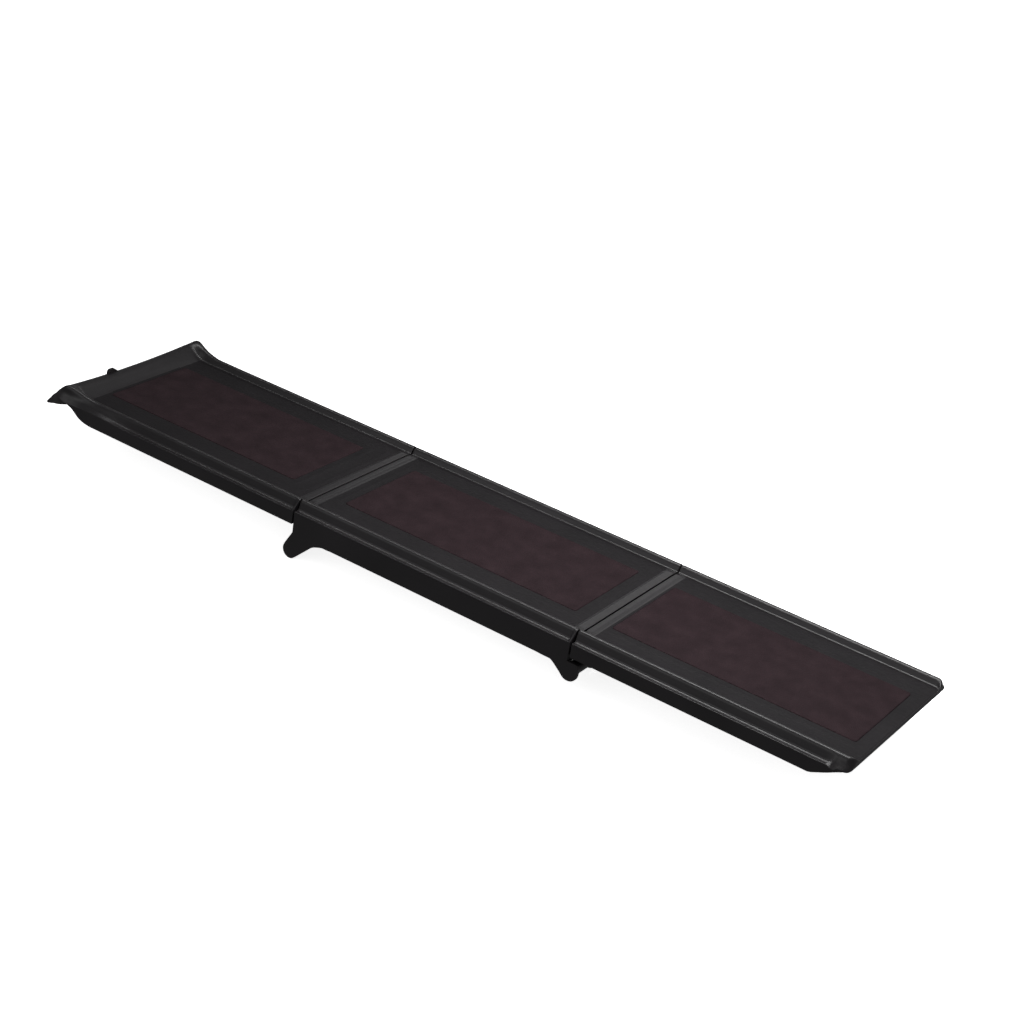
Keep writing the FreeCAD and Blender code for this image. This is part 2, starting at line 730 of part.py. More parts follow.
def hook_grip():
    """The rubber strip along the lip's underside."""
    body = new_body("hook_grip")
    across(body, grip_outline(S.grip_thick - 0.1, 0), -1 * S.grip_half, S.grip_half)


def ground_feet():
    """The two rubber feet on the nose's bevel."""
    for side_name, side in SIDES.items():
        body = new_body(f"ground_foot_{side_name}")
        low, high = mirror_span(side, S.foot_y - S.foot_wide / 2, S.foot_y + S.foot_wide / 2)
        across(body, bevel_band(4, S.foot_long, -0.1, -1 * S.foot_thick), low, high)


def anchor_outline():
    """The tether anchor's outline in Y and Z: steep on the left and sloping on the right."""
    left = S.anchor_y - S.anchor_wide / 2
    right = S.anchor_y + S.anchor_wide / 2
    base = S.deck_z + S.anchor_seat
    top = S.deck_z + S.anchor_rise
    return [(left, base), (right, base), (right, base + 4.5), (right - S.anchor_slope, top), (left + 4, top),
            (left + 1, top - 3)]


def anchor_seat(body):
    """The flat seat in the lip's outer slope that the tether anchor stands in."""
    seat = sketch_at(body, "XY_Plane", S.deck_z + S.anchor_seat)
    half = S.anchor_wide / 2 + S.stud_gap
    low = S.hook_tip_x + S.anchor_x - S.stud_gap
    high = low + S.anchor_thick + 2 * S.stud_gap
    add_outline(seat, box_corners(low, high, S.anchor_y - half, S.anchor_y + half))
    cut(body, seat, S.anchor_seat)


def anchor_screw_spots():
    """Where the tether anchor's two screws are, in X and Y."""
    x = S.hook_tip_x + S.anchor_x + S.anchor_thick / 2
    return [(x, S.anchor_y - S.screw_reach), (x, S.anchor_y + S.screw_reach)]


def drill_screws(body, length):
    """Holes for the tether anchor's screws, upwards from the hollow under the lip."""
    holes = sketch_at(body, "XY_Plane", S.deck_z + S.screw_drop)
    for x, y in anchor_screw_spots():
        add_circle(holes, x, y, S.screw_half + S.stud_gap)
    cut(body, holes, length)


def tether_anchor():
    """The lug for a tether on the outer slope of the lip, and the two screws that hold it."""
    body = new_body("tether_anchor")
    lug = sketch_at(body, "YZ_Plane", S.hook_tip_x + S.anchor_x)
    add_outline(lug, anchor_outline())
    grow(body, lug, S.anchor_thick)
    drill_screws(body, S.screw_long + 0.5)
    screws = []
    for x, y in anchor_screw_spots():
        shank = cylinder(S.screw_half, S.screw_long, x, y, S.deck_z + S.screw_drop)
        head = cylinder(S.screw_head, S.screw_head_thick, x, y, S.deck_z + S.screw_drop - S.screw_head_thick)
        screws.append(fused([shank, head]))
    group(screws, "tether_anchor_screws")


def finish_document():
    """Check every object and write each sub-part to its own file."""
    DOC.recompute()
    for item in DOC.Objects:
        bad = [word for word in item.State if word in ("Invalid", "Error")]
        if bad:
            raise RuntimeError(f"{item.Name} ({item.Label}) failed: {bad}")
        if item.TypeId == "PartDesign::Pocket" and item.Shape.Volume > item.BaseFeature.Shape.Volume - 0.5:
            raise RuntimeError(f"{item.Name} in {item.getParent().Label} cuts nothing")
    os.makedirs("parts", exist_ok=True)
    total = 0.0
    for item in SUBPARTS:
        shape = item.Shape
        if shape.isNull() or not shape.isValid():
            raise RuntimeError(f"{item.Label} has no valid shape")
        total += shape.Volume
        box = shape.BoundBox
        print(f"{item.Label:24s} solids {len(shape.Solids)} faces {len(shape.Faces)} "
              f"volume {shape.Volume / 1e6:.4f} l  x {box.XMin:.1f} {box.XMax:.1f}  "
              f"y {box.YMin:.1f} {box.YMax:.1f}  z {box.ZMin:.1f} {box.ZMax:.1f}")
        shape.exportStep(f"parts/{item.Label}.step")
    print(f"{len(SUBPARTS)} sub-parts, {total / 1e6:.3f} litres")


def main():
    mats = {"upper": upper_panel(), "middle": middle_panel(), "lower": lower_panel()}
    for name, (mat, spots) in mats.items():
        tread_mat(f"{name}_tread_mat", mat, spots)
        mat_studs(f"{name}_mat_studs", spots)
    hinge_hardware("upper", *hinge_axis(lower=False))
    hinge_hardware("lower", *hinge_axis(lower=True))
    hook_grip()
    ground_feet()
    tether_anchor()
    finish_document()


main()
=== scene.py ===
"""The looks of the folding dog ramp: moulded panels, tread mats and the materials of every piece.

Lengths are in millimetres until mesh_object() turns them into metres. X runs along the ramp towards
its ground end, Y across it and Z up. Heights called "rise" are measured from the walking surface.
"""
import json
import math

import bmesh
import bpy
from mathutils import Matrix, Vector, noise


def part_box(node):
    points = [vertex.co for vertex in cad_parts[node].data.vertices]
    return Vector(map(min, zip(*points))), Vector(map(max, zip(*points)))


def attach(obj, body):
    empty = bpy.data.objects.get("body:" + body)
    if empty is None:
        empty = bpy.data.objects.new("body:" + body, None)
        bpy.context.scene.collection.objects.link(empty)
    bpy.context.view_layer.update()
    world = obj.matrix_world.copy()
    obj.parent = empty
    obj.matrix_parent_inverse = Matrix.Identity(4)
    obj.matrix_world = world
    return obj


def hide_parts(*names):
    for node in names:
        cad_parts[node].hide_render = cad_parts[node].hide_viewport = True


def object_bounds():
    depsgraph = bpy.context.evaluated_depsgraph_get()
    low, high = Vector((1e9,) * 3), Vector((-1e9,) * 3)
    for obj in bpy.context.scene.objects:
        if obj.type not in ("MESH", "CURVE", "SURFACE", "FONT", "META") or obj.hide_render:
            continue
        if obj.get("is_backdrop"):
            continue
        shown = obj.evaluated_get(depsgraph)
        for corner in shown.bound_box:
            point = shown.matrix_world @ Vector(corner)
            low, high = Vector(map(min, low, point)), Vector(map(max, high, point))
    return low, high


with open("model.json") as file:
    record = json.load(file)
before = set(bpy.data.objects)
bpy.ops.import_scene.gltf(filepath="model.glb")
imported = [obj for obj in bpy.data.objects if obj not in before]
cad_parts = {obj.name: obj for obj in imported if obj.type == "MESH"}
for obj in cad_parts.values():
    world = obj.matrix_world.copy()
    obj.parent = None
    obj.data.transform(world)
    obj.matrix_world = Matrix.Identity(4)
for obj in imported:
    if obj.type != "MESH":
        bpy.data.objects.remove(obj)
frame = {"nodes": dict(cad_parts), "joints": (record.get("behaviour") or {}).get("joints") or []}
CAD_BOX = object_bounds()
MM = 0.001


def cad_box(node):
    """The lowest and highest corners of a CAD node in millimetres."""
    low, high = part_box(node)
    return low / MM, high / MM


def pivot(joint):
    """A joint's axis in the side view: its X and Z in millimetres."""
    place = next(item["pos_m"] for item in frame["joints"] if item["name"] == joint)
    return place[0] / MM, place[2] / MM


# ---------------------------------------------------------------- dimensions

MAT_SUNK = 2.5
LOWER_PIVOT_LEAD = 4
UPPER_PIVOT = pivot("upper_fold")
LOWER_PIVOT = pivot("lower_fold")
UPPER_SEAM = UPPER_PIVOT[0]
LOWER_SEAM = LOWER_PIVOT[0] - LOWER_PIVOT_LEAD
HOOK_TIP = cad_box("upper_panel")[0].x
GROUND_END = cad_box("lower_panel")[1].x
WALL_HALF = cad_box("middle_panel")[1].y
DECK = cad_box("middle_tread_mat")[0].z + MAT_SUNK
SEAM_HALF_GAP = 1.5

SKIRT_SHORT = 35
SKIRT_DEEP = 54
WALL = 2.8
END_WALL = 3.6
RIB = 2
SKIN = 2.8
BAYS = 8
KEEL_Y = 64
RIB_RELIEF = 3

RAIL_FOOT = 163
FOOT_REACH = 30
CREST_IN = 170
CREST_OUT = 177.5
CREST_RISE = 12
GROOVE_Y = 185.5
GROOVE_RISE = -8.0
LEDGE_RISE = -6.5
LEDGE_SOFT = 1.7
GROOVE_SOFT = 4.5
CREST_SOFT = 6.0
FOOT_SOFT = 3.0
BOTTOM_SOFT = 1.5
FLANK_SHARE = 0.52
CORNER_STEPS = 6

MAT_GAP = 0.4
MAT_CORNER = 7
STRIP_END = 21
STRIP_NARROW = 17
STRIP_SLOPE = 5
STRIP_RISE = 1.6
STRIP_FADE = (148, 161)
RIDGE_RISE = 0.7
RIDGE_HALF = 8
RIDGES = (14, 44)
PLACE_GAP = 0.3

EAR_THICK = 8
EAR_EDGE = 0.9
INNER_EAR = (120, 131)
KNUCKLE = (134, 183)
KNUCKLE_WEB = 14
KNUCKLE_HALF = 13
PIN_HALF = 5.02
BUSH_HALF = 7.02
PIN_REACH = (115, 191.2)

NOSE_START = 471
NOSE_END = 526
NOSE_RISE = -9.4
NOSE_CORNER = 14
END_DROP = 6
END_DIP = 3.5
END_CREST_RUN = 11
END_CREST_RISE = 1
END_NOTCH = (39, 31, 27, 19)
END_NOTCH_DEPTH = 5
BOTTOM_SHARP = 0.05
GROOVE_RUN_OUT = (9, 3)
KNUCKLE_ROOM = 2
END_WALL_IN = 3
END_ROUND = 1.5
SHARP_ANGLE = 24
DOUBLED = 0.02


# ---------------------------------------------------------------- curves and outlines


def smooth(low, high, value):
    """A soft step from 0 at low to 1 at high; low may be the larger."""
    share = min(1.0, max(0.0, (value - low) / (high - low)))
    return share * share * (3 - 2 * share)


def glide(value, knots):
    """A smooth curve through (place, height) knots, read at value."""
    if value <= knots[0][0]:
        return knots[0][1]
    if value >= knots[-1][0]:
        return knots[-1][1]
    slopes = [(b[1] - a[1]) / (b[0] - a[0]) for a, b in zip(knots, knots[1:])]
    tangents = [slopes[0]] + [(a + b) / 2 for a, b in zip(slopes, slopes[1:])] + [slopes[-1]]
    spot = next(i for i in range(len(slopes)) if value <= knots[i + 1][0])
    (x0, y0), (x1, y1) = knots[spot], knots[spot + 1]
    run = x1 - x0
    t = (value - x0) / run
    return ((2 * t**3 - 3 * t**2 + 1) * y0 + (t**3 - 2 * t**2 + t) * run * tangents[spot]
            + (3 * t**2 - 2 * t**3) * y1 + (t**3 - t**2) * run * tangents[spot + 1])


def soft_corner(before, corner, after, reach, steps=4):
    """Points round a corner, from reach before it to reach after it."""
    before, corner, after = Vector(before), Vector(corner), Vector(after)
    to_before, to_after = before - corner, after - corner
    start = corner + to_before * min(0.5, reach / max(to_before.length, 0.001))
    end = corner + to_after * min(0.5, reach / max(to_after.length, 0.001))
    return [start * (1 - t) ** 2 + corner * 2 * t * (1 - t) + end * t**2
            for t in (i / steps for i in range(steps + 1))]


def soft_outline(corners, reach, steps=4):
    """A closed outline with rounded corners.

    Reach is one length, or one for each corner, with 0 for a sharp one.
    """
    count = len(corners)
    reaches = reach if isinstance(reach, (list, tuple)) else [reach] * count
    points = []
    for i in range(count):
        if reaches[i]:
            points += soft_corner(corners[i - 1], corners[i], corners[(i + 1) % count], reaches[i], steps)
        else:
            points.append(Vector(corners[i]))
    return points


def box_outline(low_u, high_u, low_v, high_v):
    """The corners of a rectangle."""
    return [(low_u, low_v), (high_u, low_v), (high_u, high_v), (low_u, high_v)]


def circle_outline(centre, radius, count=40):
    """Points round a circle."""
    return [(centre[0] + radius * math.cos(math.tau * i / count),
             centre[1] + radius * math.sin(math.tau * i / count)) for i in range(count)]


def spread(start, end, step):
    """Evenly spaced places from start to end, about step apart."""
    count = max(1, round(abs(end - start) / step))
    return [start + (end - start) * i / count for i in range(count + 1)]


def span(side, low, high):
    """The span low to high from the centre line, on the left (-1) or the right (1)."""
    return (low, high) if side > 0 else (-high, -low)


# ---------------------------------------------------------------- meshes


def mesh_object(name, points, faces):
    """A mesh object from points in millimetres."""
    mesh = bpy.data.meshes.new(name)
    mesh.from_pydata([Vector(point) * MM for point in points], [], faces)
    shell = bmesh.new()
    shell.from_mesh(mesh)
    bmesh.ops.recalc_face_normals(shell, faces=shell.faces)
    shell.to_mesh(mesh)
    shell.free()
    item = bpy.data.objects.new(name, mesh)
    bpy.context.scene.collection.objects.link(item)
    return item


def loft(name, sections):
    """A closed mesh through sections, each a closed ring of the same number of points."""
    count = len(sections[0])
    points = [point for section in sections for point in section]
    faces = [tuple(range(count)), tuple(range(len(points) - count, len(points)))]
    for row in range(len(sections) - 1):
        for i in range(count):
            j = (i + 1) % count
            low, high = row * count, (row + 1) * count
            faces.append((low + i, low + j, high + j, high + i))
    return mesh_object(name, points, faces)


def prism(outline, low, high, axis, edge=0):
    """An outline drawn out from low to high along an axis, with its end edges chamfered by edge."""
    place = {
        "x": lambda u, v, w: (w, u, v),
        "y": lambda u, v, w: (u, w, v),
        "z": lambda u, v, w: (u, v, w),
    }[axis]
    if edge:
        rings = [(low, edge), (low + edge, 0), (high - edge, 0), (high, edge)]
    else:
        rings = [(low, 0), (high, 0)]
    sections = [[place(u, v, w) for u, v in shrunk(outline, inset)] for w, inset in rings]
    return loft("prism", sections)


def shrunk(outline, inset):
    """The outline moved inwards by inset."""
    if not inset:
        return [tuple(point) for point in outline]
    points = [Vector(point) for point in outline]
    area = sum(a.x * b.y - b.x * a.y for a, b in zip(points, points[1:] + points[:1]))
    turn = 1 if area > 0 else -1
    moved = []
    for i, point in enumerate(points):
        along = points[(i + 1) % len(points)] - points[i - 1]
        inward = Vector((-along.y, along.x)).normalized() * turn
        moved.append(tuple(point + inward * inset))
    return moved


def combine(base, tool, operation):
    """Apply a boolean of the tool to the base, and drop the tool."""
    modifier = base.modifiers.new("combine", "BOOLEAN")
    modifier.operation = operation
    modifier.solver = "MANIFOLD"
    modifier.object = tool
    bpy.context.view_layer.update()
    evaluated = base.evaluated_get(bpy.context.evaluated_depsgraph_get())
    result = bpy.data.meshes.new_from_object(evaluated)
    base.modifiers.clear()
    base.data = result
    bpy.data.objects.remove(tool)


def add(base, tool):
    """Join the tool to the base."""
    combine(base, tool, "UNION")


def cut(base, tool):
    """Cut the tool out of the base."""
    combine(base, tool, "DIFFERENCE")


def finish_mesh(item):
    """Join a piece's doubled points and shade it smooth, with its sharp edges kept."""
    shell = bmesh.new()
    shell.from_mesh(item.data)
    bmesh.ops.remove_doubles(shell, verts=shell.verts, dist=DOUBLED * MM)
    shell.to_mesh(item.data)
    shell.free()
    item.data.shade_smooth()
    item.data.set_sharp_from_angle(angle=math.radians(SHARP_ANGLE))
    normals = item.modifiers.new("normals", "WEIGHTED_NORMAL")
    normals.keep_sharp = True


# ---------------------------------------------------------------- panel sections


class Section:
    """The heights and widths of a panel's cross section at one place along the ramp."""

    def __init__(self, bottom):
        self.wall = WALL_HALF
        self.bottom = bottom
        self.bottom_soft = BOTTOM_SOFT
        self.ledge = LEDGE_RISE
        self.groove = 1.0
        self.crest_out = CREST_OUT
        self.crest_in = CREST_IN
        self.crest = CREST_RISE
        self.foot = RAIL_FOOT
        self.deck = 0.0
        self.crest_soft = CREST_SOFT
        self.foot_soft = FOOT_SOFT
        self.side_shift = 0.0


DECK_PLACES = sorted(set(
    spread(0, 100, 12.5) + spread(100, 116, 4) + spread(116, 163, 1.5)), reverse=True)


def half_ring(section, relief, inset):
    """Points from the bottom of the side wall to the centre line, as (distance out, rise)."""
    shift = section.side_shift
    wall = section.wall - inset - shift
    flank = section.ledge + (section.crest - section.ledge) * FLANK_SHARE
    groove_rise = GROOVE_RISE * section.groove + flank * (1 - section.groove)
    foot = section.foot - shift
    corners = [
        (wall - 6, section.bottom + inset),
        (wall, section.bottom + inset),
        (wall, section.ledge - inset),
        (GROOVE_Y - shift + (section.wall - WALL_HALF), groove_rise - inset),
        (section.crest_out - shift, section.crest - inset),
        (section.crest_in - shift, section.crest - inset),
        (foot, section.deck - inset + relief(foot)),
        (foot - FOOT_REACH, section.deck - inset + relief(foot - FOOT_REACH)),
    ]
    reaches = [section.bottom_soft, LEDGE_SOFT, GROOVE_SOFT, section.crest_soft, section.crest_soft,
               section.foot_soft]
    ring = []
    for i, reach in enumerate(reaches, start=1):
        bend = soft_corner(corners[i - 1], corners[i], corners[i + 1], reach, CORNER_STEPS)
        ring += [tuple(point) for point in bend]
    inner = foot - section.foot_soft - 0.2
    for place in DECK_PLACES:
        y = place * inner / RAIL_FOOT
        ring.append((y, section.deck - inset + relief(y)))
    return ring


def panel_solid(name, places, section_at, relief_at):
    """The outer solid of a panel: a loft of sections at (x, inset) places along the ramp."""
    sections = []
    for x, inset in places:
        half = half_ring(section_at(x), lambda y, x=x: relief_at(x, y), inset)
        left = [(x, -y, DECK + z) for y, z in half]
        right = [(x, y, DECK + z) for y, z in reversed(half[:-1])]
        sections.append(left + right)
    return loft(name, sections)


def eased(places, start_edge, end_edge):
    """Places along a panel, as (x, inset), with extra ones that round its start and end edges."""
    first, last = places[0], places[-1]
    low = first + (END_ROUND + PLACE_GAP if start_edge else PLACE_GAP)
    high = last - (END_ROUND + PLACE_GAP if end_edge else PLACE_GAP)
    start = [(first + along, inset) for along, inset in edge_round((0, 0.4, 0.8, 1.2))]
    end = [(last - along, inset) for along, inset in edge_round((1.57, 1.2, 0.8, 0.4, 0))]
    inner = [(x, 0) for x in places if low <= x <= high]
    return (start if start_edge else [(first, 0)]) + inner + (end if end_edge else [(last, 0)])


def edge_round(angles):
    """A rounded edge's steps, as (distance from the end, inset)."""
    return [(END_ROUND * (1 - math.cos(a)), END_ROUND * (1 - math.sin(a))) for a in angles]


def strip_relief(x, y, seam, way):
    """Rise of the flat cross strip beside a seam, narrower on the side towards the ground end."""
    width = STRIP_NARROW if way > 0 else STRIP_END
    across = 1 - smooth(width - STRIP_SLOPE, width, (x - seam) * way)
    return STRIP_RISE * across * (1 - smooth(*STRIP_FADE, abs(y)))


def ridge_relief(x, y, mat):
    """Rise of the low ridges that run round a mat."""
    over_x = max(mat[0] - x, x - mat[1])
    over_y = abs(y) - mat[2]
    away = math.hypot(max(over_x, 0), max(over_y, 0))
    return sum(RIDGE_RISE * (1 - smooth(0, RIDGE_HALF, abs(away - ridge))) for ridge in RIDGES)


def mat_edges(node):
    """A mat's start, end and half width."""
    low, high = cad_box(node)
    return low.x, high.x, high.y


def fine_places(start, end, fine, step=7.0, fine_step=1.6):
    """Places from start to end, close together inside the fine spans."""
    places = [start]
    x = start
    while x < end:
        here = x
        near = any(low <= here <= high for low, high in fine)
        x += fine_step if near else step
        x = min([low for low, high in fine if here < low < x], default=x)
        if x < end:
            places.append(x)
    return places + [end]


# ---------------------------------------------------------------- ribs, mats' recesses and hinges


def rib_cutters(skirt, start, end):
    """The hollows between the ribs, as prisms along the ramp."""
    under_mat = DECK - MAT_SUNK - SKIN
    under_rim = DECK - SKIN
    bottom = DECK - skirt - 5
    near = KEEL_Y - RIB / 2
    side = [
        (KEEL_Y + RIB / 2, bottom), (KEEL_Y + RIB / 2, under_mat), (113, under_mat), (115, under_rim),
        (165, under_rim), (171.8, DECK + 7.8), (176, DECK + 7.8), (182.5, DECK - 10.5),
        (WALL_HALF - WALL, DECK - 11.5), (WALL_HALF - WALL, bottom),
    ]
    reaches = [0.1, 3, 1, 1, 1.5, 1.5, 1.5, 2, 2, 0.1]
    middle = soft_outline(box_outline(-near, near, bottom, under_mat), [0.1, 0.1, 3, 3], 3)
    outlines = [
        middle,
        soft_outline(side, reaches, 3),
        [(-y, z) for y, z in reversed(soft_outline(side, reaches, 3))],
    ]
    bay = (end - start - RIB * (BAYS - 1)) / BAYS
    for i in range(BAYS):
        low = start + i * (bay + RIB)
        for outline in outlines:
            yield prism(outline, low, low + bay, "x")
    inside = WALL_HALF - WALL
    yield prism(box_outline(start, end, -inside, inside), DECK - skirt - 4, DECK - skirt + RIB_RELIEF, "z")


def mat_recess(mat):
    """The shallow recess that a mat lies in."""
    outline = box_outline(mat[0] - MAT_GAP, mat[1] + MAT_GAP, -mat[2] - MAT_GAP, mat[2] + MAT_GAP)
    return prism(soft_outline(outline, MAT_CORNER, 5), DECK - MAT_SUNK, DECK + 12, "z")


def ear_outline(lower):
    """An ear in the side view, with rounded corners."""
    if lower:
        seam, centre, reach = LOWER_SEAM, LOWER_PIVOT, 19
        before = [(seam - 58, DECK - 46), (seam - 47, DECK - SKIRT_DEEP), (seam - 35, DECK - SKIRT_DEEP)]
        after = [(seam + 23, DECK - 51), (seam + 20, DECK - 44), (seam - 1.3, DECK - 44),
                 (seam - 1.3, DECK - 34), (seam - 58, DECK - 34)]
        angles = (209, 240, 270, 300, 331)
        before_soft, after_soft = [0, 6, 9], [2, 2, 0, 0, 0]
    else:
        seam, centre, reach = UPPER_SEAM, UPPER_PIVOT, 17
        before = [(seam + 3.7, DECK - 34), (seam + 3.7, DECK - 47)]
        after = [(seam + 51, DECK - 62), (seam + 74, DECK - SKIRT_DEEP), (seam + 90, DECK - SKIRT_DEEP),
                 (seam + 90, DECK - 34)]
        angles = (142, 172, 202, 232, 262, 292)
        before_soft, after_soft = [0, 9], [9, 9, 0, 0]
    outside = reach / math.cos(math.radians(angles[1] - angles[0]) / 2)
    turns = [math.radians(angle) for angle in angles]
    rim = [(centre[0] + outside * math.cos(a), centre[1] + outside * math.sin(a)) for a in turns]
    return soft_outline(before + rim + after, before_soft + [8] * len(rim) + after_soft, 5)


def ears(lower):
    """The ears that hang from the middle panel at a seam."""
    outline = ear_outline(lower)
    for side in (-1, 1):
        for low, high in (span(side, WALL_HALF - EAR_THICK, WALL_HALF), span(side, *INNER_EAR)):
            yield prism(outline, low, high, "y", EAR_EDGE)


def knuckle_webs(lower):
    """The webs that carry an end panel's hinge barrels, and the barrels."""
    half = KNUCKLE_HALF
    if lower:
        seam, centre = LOWER_SEAM, LOWER_PIVOT
        web = [(seam + 2, DECK - 30), (seam + 44, DECK - 30),
               (centre[0] + half * 0.71, centre[1] - half * 0.71), centre, (seam + 2, DECK - 56)]
    else:
        seam, centre = UPPER_SEAM, UPPER_PIVOT
        web = [(seam - 3, DECK - 30), (seam - 40, DECK - 30), (centre[0] - half, centre[1] - half * 0.2),
               centre, (centre[0] + half * 0.6, centre[1] + half * 0.8), (seam - 3, DECK - 62)]
    for side in (-1, 1):
        yield prism(web, *span(side, KNUCKLE[0], KNUCKLE[0] + KNUCKLE_WEB), "y")
        yield prism(circle_outline(centre, half), *span(side, *KNUCKLE), "y", 1)


def bores(centre, radius, reach):
    """The bores about a hinge's axis, on the left and on the right."""
    for side in (-1, 1):
        yield prism(circle_outline(centre, radius), *span(side, *reach), "y")


# ---------------------------------------------------------------- the three panels


UPPER_END = UPPER_SEAM - SEAM_HALF_GAP
MIDDLE_START = UPPER_SEAM + SEAM_HALF_GAP
MIDDLE_END = LOWER_SEAM - SEAM_HALF_GAP
LOWER_START = LOWER_SEAM + SEAM_HALF_GAP


def groove_beside(seam_end, x):
    """How deep the groove is near a seam: it runs out just before the panel's end."""
    return 1 - smooth(seam_end - GROOVE_RUN_OUT[0], seam_end - GROOVE_RUN_OUT[1], x)


def beyond_strip(distance):
    """0 on a seam's flat strip, and 1 further than it from the seam."""
    return smooth(STRIP_END, STRIP_END + 3, distance)


def middle_section(x):
    """The middle panel's cross section, with the skirt's lower edge sharp where the ears join it."""
    section = Section(-SKIRT_DEEP)
    section.groove = groove_beside(MIDDLE_END, x)
    at_ears = smooth(MIDDLE_START + 92, MIDDLE_START + 86, x) + smooth(MIDDLE_END - 62, MIDDLE_END - 56, x)
    section.bottom_soft = BOTTOM_SOFT - (BOTTOM_SOFT - BOTTOM_SHARP) * min(1, at_ears)
    return section


def middle_relief(x, y, mat):
    """The relief of the middle panel's deck."""
    flat = beyond_strip(x - UPPER_SEAM) * beyond_strip(LOWER_SEAM - x)
    return (ridge_relief(x, y, mat) * flat + strip_relief(x, y, UPPER_SEAM, 1)
            + strip_relief(x, y, LOWER_SEAM, -1))


def build_middle():
    """The middle panel, with the ears that carry the hinge pins."""
    start, end = MIDDLE_START, MIDDLE_END
    mat = mat_edges("middle_tread_mat")
    fine = [(start, mat[0]), (mat[1], end)]
    places = eased(fine_places(start, end, fine), True, True)
    body = panel_solid("middle_panel_shell", places, middle_section, lambda x, y: middle_relief(x, y, mat))
    for cutter in rib_cutters(SKIRT_DEEP, start + END_WALL, end - END_WALL):
        cut(body, cutter)
    cut(body, mat_recess(mat))
    for lower in (False, True):
        for ear in ears(lower):
            add(body, ear)
    for side in (-1, 1):
        reach = span(side, INNER_EAR[1], WALL_HALF - EAR_THICK)
        cut(body, prism(circle_outline(LOWER_PIVOT, KNUCKLE_HALF + KNUCKLE_ROOM), *reach, "y"))
    for centre in (UPPER_PIVOT, LOWER_PIVOT):
        for bore in bores(centre, PIN_HALF, PIN_REACH):
            cut(body, bore)
    finish_mesh(body)
    return body


# The lip's curves, as (distance from the hook tip, rise or distance from the centre line).
LIP_CENTRE = [(0, -22), (2, -18.6), (12, -7.6), (23, 4.6), (33, 11.4), (43, 13.4), (54, 11.4), (69, 5),
              (84, 1), (100, 0)]
LIP_CORNER = [(0, -20), (2, -17), (12, -6), (20, 2.5), (28, 11.5), (36, 19.5), (43, 24.6), (50, 26.8),
              (60, 26), (74, 21.5), (92, 16), (118, 12)]
LIP_UNDER = [(62, -6), (73, -12), (87, -25), (101, -32), (118, -35)]
LIP_WALL = [(0, 196), (20, 199), (44, 204), (62, 202), (88, 197.5), (110, 196)]
LIP_FOOT = [(0, 158), (44, 162), (80, 164), (116, 163)]
LIP_CREST_IN = [(0, 172), (44, 180), (80, 174), (116, 170)]
LIP_CREST_OUT = [(0, 188), (44, 192), (76, 184), (120, 177.5)]
LIP_SAG = 6
LIP_FADE = (100, 240)
LIP_LEDGE_UP = 2
FLANGE = (18, 62)
FLANGE_EDGE = 1.6
HOOK_FLAT = (4, 62)
HOOK_FLAT_RISE = (-24.5, -6)
HOOK_TIP_RISE = -22.8


def lip_bottom(out):
    """Rise of the upper panel's underside, at a distance from the hook tip."""
    near, far = HOOK_FLAT
    low, high = HOOK_FLAT_RISE
    if out >= far:
        return glide(out, LIP_UNDER)
    if out > near:
        return low + (out - near) * (high - low) / (far - near)
    return HOOK_TIP_RISE + (low - HOOK_TIP_RISE) * smooth(0, near, out)


def upper_section(x):
    """The upper panel's cross section: the hook lip blends into the plain panel."""
    out = x - HOOK_TIP
    lip = 1 - smooth(*LIP_FADE, out)
    section = Section(lip_bottom(out))
    section.wall = glide(out, LIP_WALL)
    section.deck = glide(out, LIP_CENTRE)
    section.crest = glide(out, LIP_CORNER)
    section.foot = glide(out, LIP_FOOT)
    section.crest_in = glide(out, LIP_CREST_IN)
    section.crest_out = glide(out, LIP_CREST_OUT)
    section.groove = (1 - lip) * groove_beside(UPPER_END, x)
    section.ledge += lip * LIP_LEDGE_UP
    section.ledge += (1 - smooth(*FLANGE, out)) * (section.deck - section.ledge - FLANGE_EDGE)
    section.crest_soft += 4 * lip
    section.foot_soft += 2 * lip
    section.bottom_soft = BOTTOM_SOFT if out > 20 else 0.4
    return section


def upper_relief(x, y, mat):
    """The relief of the upper panel's deck, and the sag of the lip's crest between its corners."""
    out = x - HOOK_TIP
    flat = beyond_strip(UPPER_SEAM - x) * smooth(84, 96, out)
    sag = LIP_SAG * smooth(10, 40, out) * smooth(92, 50, out) * (y / RAIL_FOOT) ** 2
    return sag + ridge_relief(x, y, mat) * flat + strip_relief(x, y, UPPER_SEAM, -1)


def build_upper():
    """The upper panel, with its hook lip and hinge barrels."""
    start, end = HOOK_TIP, UPPER_END
    mat = mat_edges("upper_tread_mat")
    fine = [(start, mat[0]), (mat[1], end)]
    places = eased(fine_places(start, end, fine), False, True)
    body = panel_solid("upper_panel_shell", places, upper_section, lambda x, y: upper_relief(x, y, mat))
    for cutter in rib_cutters(SKIRT_SHORT, UPPER_SEAM - 541, end - END_WALL):
        cut(body, cutter)
    cut(body, mat_recess(mat))
    hang_barrels(body, False)
    for cutter in lip_cutters():
        cut(body, cutter)
    finish_mesh(body)
    return body


def hang_barrels(body, lower):
    """Join an end panel's hinge barrels to it and bore them for the bushes."""
    centre = LOWER_PIVOT if lower else UPPER_PIVOT
    for web in knuckle_webs(lower):
        add(body, web)
    for bore in bores(centre, BUSH_HALF, (KNUCKLE[0] - 1, KNUCKLE[1] + 1)):
        cut(body, bore)


